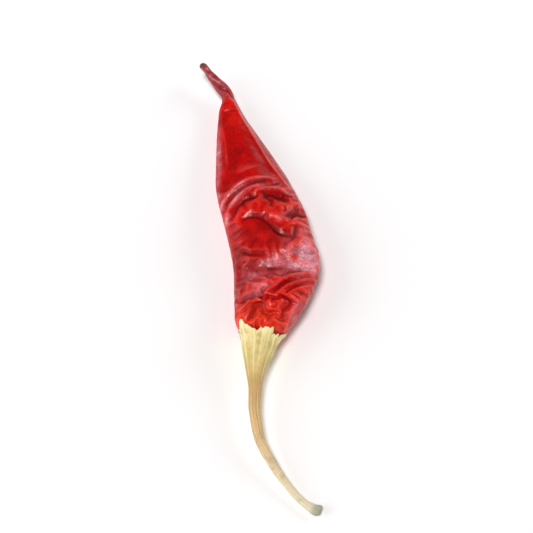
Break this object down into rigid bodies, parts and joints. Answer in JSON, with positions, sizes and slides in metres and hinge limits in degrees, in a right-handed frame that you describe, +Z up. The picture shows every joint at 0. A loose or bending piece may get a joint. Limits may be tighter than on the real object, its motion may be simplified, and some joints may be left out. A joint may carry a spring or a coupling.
{
  "type": "dried chilli pepper",
  "caption": "Whole dried red chilli pepper lying on its side: a wrinkled, tapering pod with a twisted tip, and a toothed straw-coloured calyx with its long curved stem.",
  "frame": {"origin": "middle of the object's box in plan, on the surface that the chilli lies on", "axes": "+Y along the chilli from the stem's cut end to the pod's tip, +Z up out of the side that faces up as it lies, +X to the side on which the pod bulges"},
  "size_m": [0.0208, 0.099, 0.0088],
  "materials": {
    "dried_skin": "glossy, wrinkled, dried deep red skin",
    "dry_stalk": "matt, ribbed, yellow-green to straw"
  },
  "bodies": {
    "root": {"pod": "dried_skin", "calyx_and_stem": "dry_stalk"}
  },
  "joints": []
}
